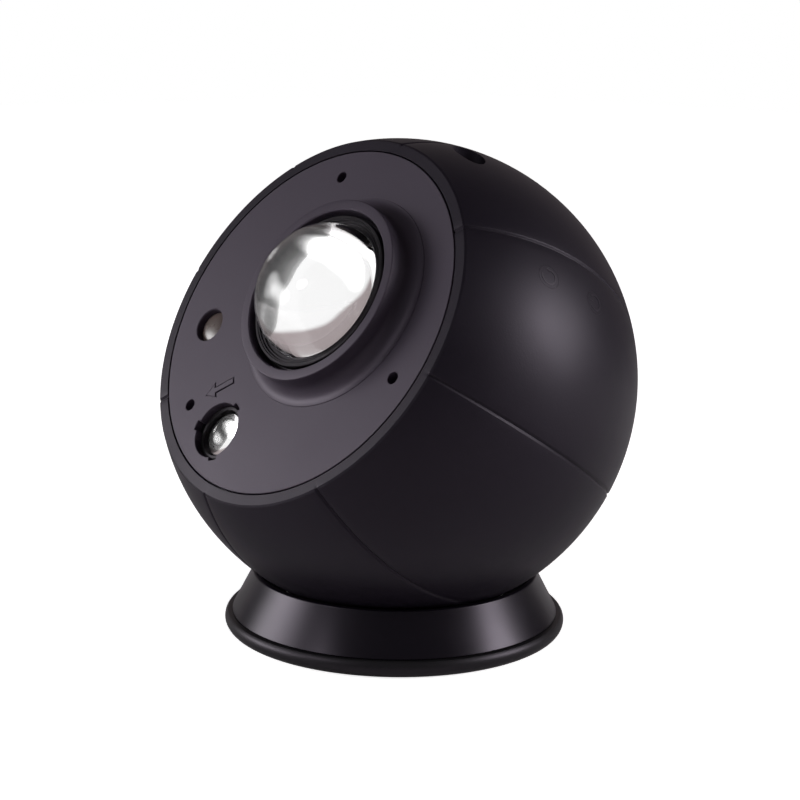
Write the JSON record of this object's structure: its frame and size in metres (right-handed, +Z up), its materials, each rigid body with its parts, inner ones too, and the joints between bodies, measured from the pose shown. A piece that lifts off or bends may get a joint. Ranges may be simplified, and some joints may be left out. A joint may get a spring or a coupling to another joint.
{
  "type": "planetarium projector",
  "caption": "Ball-shaped home star projector: black ball with a flat face and large focusing lens, resting loosely in a low conical ring so that it can be turned and tilted.",
  "frame": {"origin": "on the table, at the middle of the round foot, under the centre of the ball", "axes": "+Z up; the lens looks towards -Y, tilted up; +X to the right when the lens face is seen from the front"},
  "size_m": [0.15, 0.1442, 0.1548],
  "materials": {
    "ball_plastic": "fine matte black moulding",
    "face_plastic": "satin charcoal moulding",
    "base_plastic": "semi-gloss black",
    "foot_rubber": "black rubber",
    "liner": "soft black",
    "barrel_plastic": "black, anti-glare",
    "optic": "clear, polished",
    "receiver_window": "smoky translucent",
    "seal_rubber": "black rubber",
    "steel": "zinc plated",
    "black_steel": "black oxide",
    "gear_plastic": "natural acetal",
    "chassis_plastic": "black ABS",
    "aluminium": "extruded",
    "board_green": "solder mask",
    "board_white": "white solder mask",
    "component_black": "moulded package",
    "led": "clear dome on phosphor",
    "film": "printed film"
  },
  "bodies": {
    "base": {"base_ring": "base_plastic", "foot_ring": "foot_rubber"},
    "seat": {"seat_liner": "liner"},
    "ball": {"left_shell": "ball_plastic", "right_shell": "ball_plastic", "shell_screws": "steel", "face_plate": "face_plastic", "face_plate_screws": "black_steel", "optical_chassis": "chassis_plastic", "chassis_screws": "steel", "condenser_front": "optic", "condenser_rear": "optic", "lamp_housing": "chassis_plastic", "lamp_housing_screws": "steel", "heat_sink": "aluminium", "heat_sink_screws": "steel", "led_board": "board_white", "led_emitter": "led", "gear_motor": "steel", "motor_screws": "steel", "meteor_tube": "chassis_plastic", "meteor_film": "film", "meteor_lamp_board": "board_green", "meteor_lamp": "led", "receiver_window": "receiver_window", "receiver_board": "board_green", "tact_switches": "component_black", "button_board": "board_green", "button_board_screws": "steel", "main_board": "board_green", "board_components": "component_black", "main_board_screws": "steel", "power_inlet": "component_black"},
    "focus_seal": {"focus_seal_ring": "seal_rubber"},
    "focus_barrel": {"focus_barrel": "barrel_plastic", "front_lens": "optic", "front_lens_retainer": "barrel_plastic", "rear_lens": "optic", "rear_lens_retainer": "barrel_plastic"},
    "turntable": {"disc_carrier": "gear_plastic", "film_frame": "component_black", "star_film": "film"},
    "pinion": {"drive_pinion": "gear_plastic"},
    "meteor_cell": {"meteor_cell": "barrel_plastic", "meteor_lens": "optic"},
    "power_button": {"power_button": "ball_plastic", "power_plunger": "component_black"},
    "rotation_button": {"rotation_button": "ball_plastic", "rotation_plunger": "component_black"}
  },
  "joints": [
    {"name": "ball_pan", "type": "hinge", "parent": "base", "child": "seat", "pos_m": [0, 0, 0.07985], "axis": [0, 0, 1], "continuous": true},
    {"name": "ball_tilt", "type": "hinge", "parent": "seat", "child": "ball", "pos_m": [0, 0, 0.07985], "axis": [-1, 0, 0], "range_deg": [-28, 58.9]},
    {"name": "focus_travel", "type": "slide", "parent": "ball", "child": "focus_seal", "axis": [0, -0.8563, 0.5165], "range_m": [-0.003, 0.003]},
    {"name": "focus_turn", "type": "hinge", "parent": "focus_seal", "child": "focus_barrel", "pos_m": [0.00932, -0.0348, 0.1089], "axis": [0, -0.8563, 0.5165], "range_deg": [-360, 360]},
    {"name": "disc_turn", "type": "hinge", "parent": "ball", "child": "turntable", "pos_m": [0.00932, -0.01014, 0.09403], "axis": [0, -0.8563, 0.5165], "continuous": true},
    {"name": "pinion_spin", "type": "hinge", "parent": "ball", "child": "pinion", "pos_m": [0.03193, -0.02078, 0.06477], "axis": [0, -0.8563, 0.5165], "continuous": true},
    {"name": "meteor_lock", "type": "hinge", "parent": "ball", "child": "meteor_cell", "pos_m": [-0.01622, -0.05895, 0.06886], "axis": [0, -0.8563, 0.5165], "range_deg": [0, 40]},
    {"name": "power_press", "type": "slide", "parent": "ball", "child": "power_button", "axis": [-0.8748, -0.1082, -0.4722], "range_m": [0, 0.0008], "stiffness_N_per_m": 1500, "springref_m": -0.0004},
    {"name": "rotation_press", "type": "slide", "parent": "ball", "child": "rotation_button", "axis": [-0.8748, -0.1082, -0.4722], "range_m": [0, 0.0008], "stiffness_N_per_m": 1500, "springref_m": -0.0004}
  ],
  "couplings": [
    {"joint": "focus_travel", "follows": "focus_turn", "m_per_rad": 0.000477},
    {"joint": "disc_turn", "follows": "pinion_spin", "ratio": -0.1875}
  ]
}
